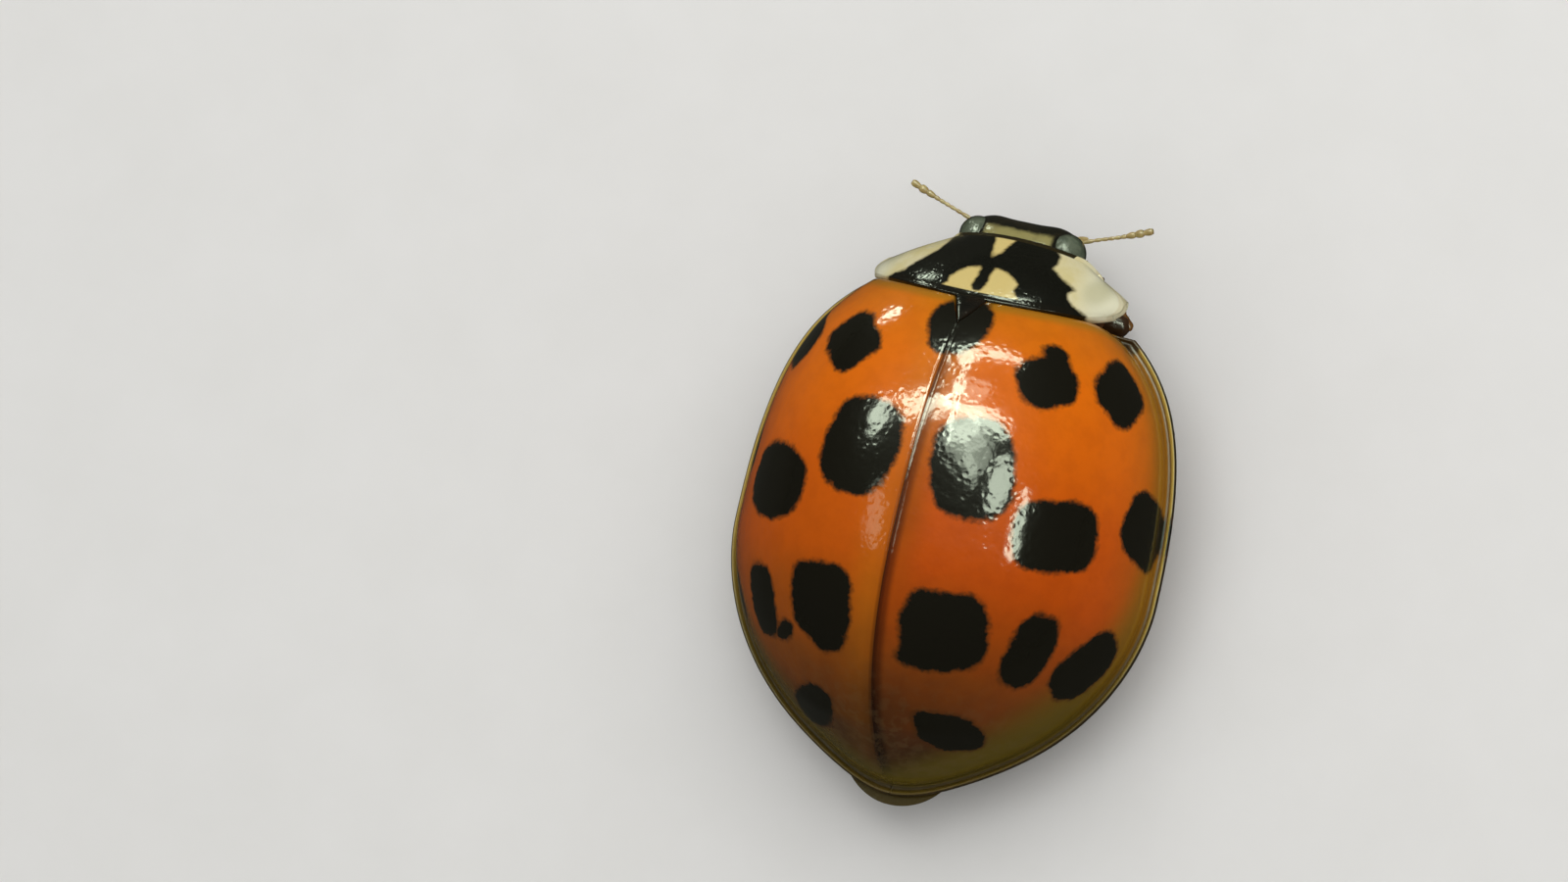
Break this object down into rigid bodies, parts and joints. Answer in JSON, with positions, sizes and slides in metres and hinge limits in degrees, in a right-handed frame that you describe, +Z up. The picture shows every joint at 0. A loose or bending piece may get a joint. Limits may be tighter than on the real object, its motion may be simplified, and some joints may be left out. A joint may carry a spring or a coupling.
{
  "type": "ladybird",
  "caption": "Life-size still model of a harlequin ladybird with orange, black-spotted wing cases and a pale shield with a black mark, standing on its feet.",
  "frame": {"origin": "on the floor under the middle of the whole animal", "axes": "+Z up; -Y towards the head, +Y towards the tail; +X the animal's left"},
  "size_m": [0.0052, 0.0074, 0.0035],
  "materials": {
    "wing_case": "glossy varnished horn, orange, browner towards the tail, with nineteen soft-edged black spots and a yellow-brown margin",
    "shield": "glossy cream horn with a large black M-shaped mark",
    "horn": "glossy black-brown horn",
    "eye": "glossy dark compound eye",
    "belly": "satin brown horn, darker in the middle",
    "leg": "satin yellow-brown horn with fine hairs",
    "feeler": "satin pale brown horn"
  },
  "bodies": {
    "root": {"pronotum": "shield", "scutellum": "horn", "prothorax": "belly", "head": "horn", "labrum": "horn", "elytron_left": "wing_case", "eye_left": "eye", "antenna_left": "feeler", "palp_left": "feeler", "elytron_right": "wing_case", "eye_right": "eye", "antenna_right": "feeler", "palp_right": "feeler", "thorax": "horn", "abdomen_1": "belly", "abdomen_2": "belly", "abdomen_3": "belly", "abdomen_4": "belly", "abdomen_5": "belly", "coxa_front_left": "leg", "femur_front_left": "leg", "tibia_front_left": "leg", "tarsus_front_left": "leg", "coxa_front_right": "leg", "femur_front_right": "leg", "tibia_front_right": "leg", "tarsus_front_right": "leg", "coxa_middle_left": "leg", "femur_middle_left": "leg", "tibia_middle_left": "leg", "tarsus_middle_left": "leg", "coxa_middle_right": "leg", "femur_middle_right": "leg", "tibia_middle_right": "leg", "tarsus_middle_right": "leg", "coxa_hind_left": "leg", "femur_hind_left": "leg", "tibia_hind_left": "leg", "tarsus_hind_left": "leg", "coxa_hind_right": "leg", "femur_hind_right": "leg", "tibia_hind_right": "leg", "tarsus_hind_right": "leg"}
  },
  "joints": []
}
